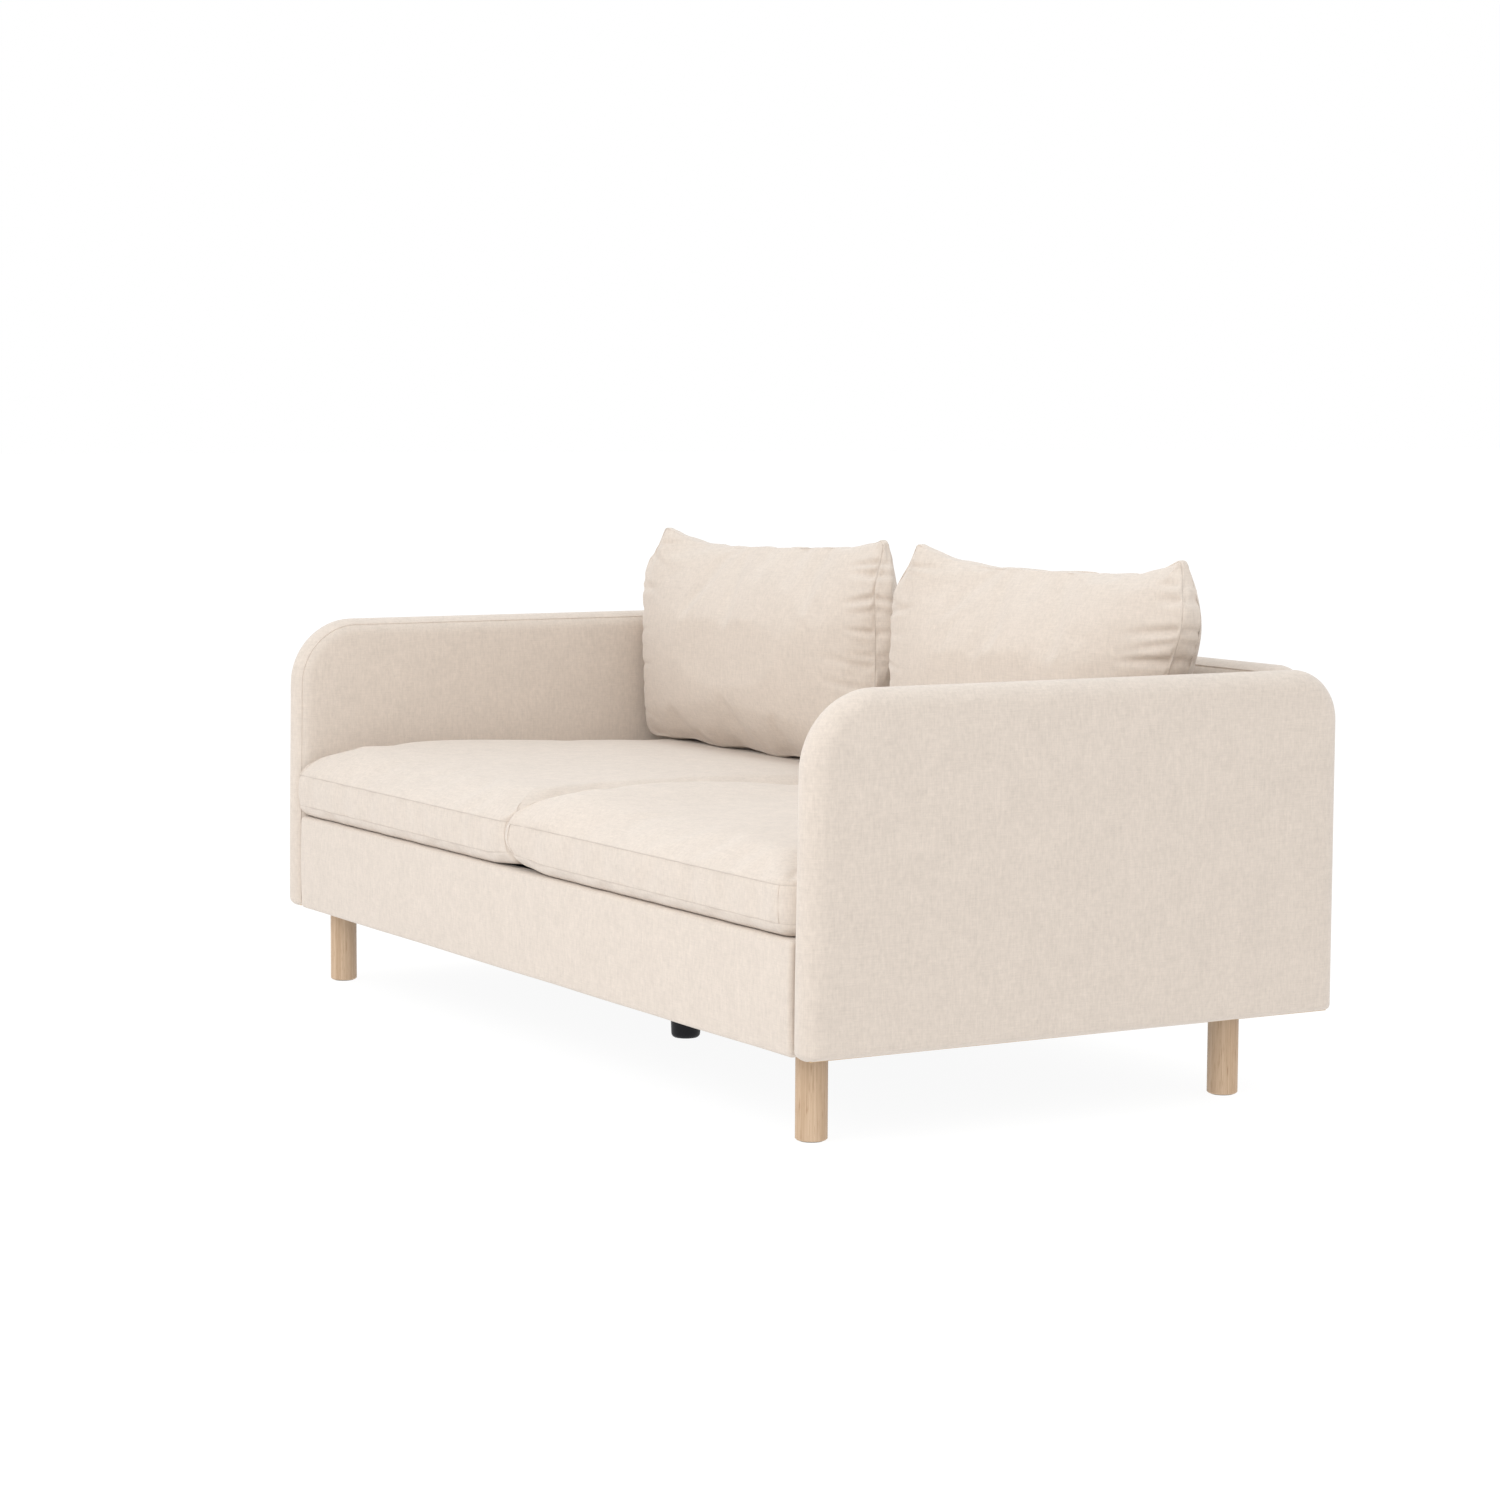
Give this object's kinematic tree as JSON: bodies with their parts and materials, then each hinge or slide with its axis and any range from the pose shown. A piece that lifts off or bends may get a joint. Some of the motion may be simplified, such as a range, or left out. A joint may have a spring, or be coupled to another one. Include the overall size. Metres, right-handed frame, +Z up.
{
  "type": "sofa",
  "caption": "Two-seat fabric sofa with thin padded arms, loose box seat cushions, loose plump back cushions, round wooden legs and a plastic support foot in the middle.",
  "frame": {"origin": "on the floor under the middle of the sofa", "axes": "+X to the right seen from the front, +Y to the rear, +Z up"},
  "size_m": [1.78, 0.9, 0.785],
  "materials": {
    "upholstery": "matte",
    "pale_wood": "satin",
    "timber": "matte",
    "foam": "matte",
    "fibre_fill": "matte",
    "felt": "matte",
    "black_cloth": "matte",
    "webbing": "matte",
    "steel": "satin",
    "black_plastic": "satin",
    "zip": "satin"
  },
  "bodies": {
    "frame": {"arm_cover_left": "upholstery", "arm_cover_right": "upholstery", "back_cover": "upholstery", "front_cover": "upholstery", "leg_front_left": "pale_wood", "leg_front_right": "pale_wood", "leg_rear_left": "pale_wood", "leg_rear_right": "pale_wood", "arm_frame_left": "timber", "arm_frame_right": "timber", "back_frame": "timber", "seat_rail_front": "timber", "seat_rail_rear": "timber", "seat_rail_left": "timber", "seat_rail_right": "timber", "seat_rail_middle": "timber", "corner_blocks": "timber", "arm_foam_inner_left": "foam", "arm_foam_inner_right": "foam", "arm_foam_outer_left": "foam", "arm_foam_outer_right": "foam", "arm_edge_foam_left": "foam", "arm_edge_foam_right": "foam", "back_foam_front": "foam", "back_foam_rear": "foam", "back_edge_foam": "foam", "front_foam": "foam", "insulator_pad": "felt", "leg_glides": "felt", "seat_deck": "black_cloth", "dust_cover": "black_cloth", "back_webbing": "webbing", "arm_bolts_left": "steel", "arm_bolts_right": "steel", "arm_tee_nuts_left": "steel", "arm_tee_nuts_right": "steel", "seat_springs": "steel", "spring_clips": "steel", "leg_studs": "steel", "leg_plates": "steel", "leg_plate_screws": "steel", "leg_tee_nuts": "steel", "support_foot_stud": "steel", "support_foot_plate": "steel", "support_foot": "black_plastic"},
    "seat_cushion_left": {"seat_cushion_cover_left": "upholstery", "seat_cushion_core_left": "foam", "seat_cushion_zip_left": "zip"},
    "back_cushion_left": {"back_cushion_cover_left": "upholstery", "back_cushion_fill_left": "fibre_fill", "back_cushion_zip_left": "zip"},
    "seat_cushion_right": {"seat_cushion_cover_right": "upholstery", "seat_cushion_core_right": "foam", "seat_cushion_zip_right": "zip"},
    "back_cushion_right": {"back_cushion_cover_right": "upholstery", "back_cushion_fill_right": "fibre_fill", "back_cushion_zip_right": "zip"}
  },
  "joints": [
    {"name": "seat_cushion_left_pull", "type": "slide", "parent": "frame", "child": "seat_cushion_left", "axis": [0, -1, 0], "range_m": [0, 0.9]},
    {"name": "seat_cushion_right_pull", "type": "slide", "parent": "frame", "child": "seat_cushion_right", "axis": [0, -1, 0], "range_m": [0, 0.9]},
    {"name": "back_cushion_left_lift", "type": "slide", "parent": "frame", "child": "back_cushion_left", "axis": [0, 0, 1], "range_m": [0, 0.4]},
    {"name": "back_cushion_right_lift", "type": "slide", "parent": "frame", "child": "back_cushion_right", "axis": [0, 0, 1], "range_m": [0, 0.4]}
  ]
}
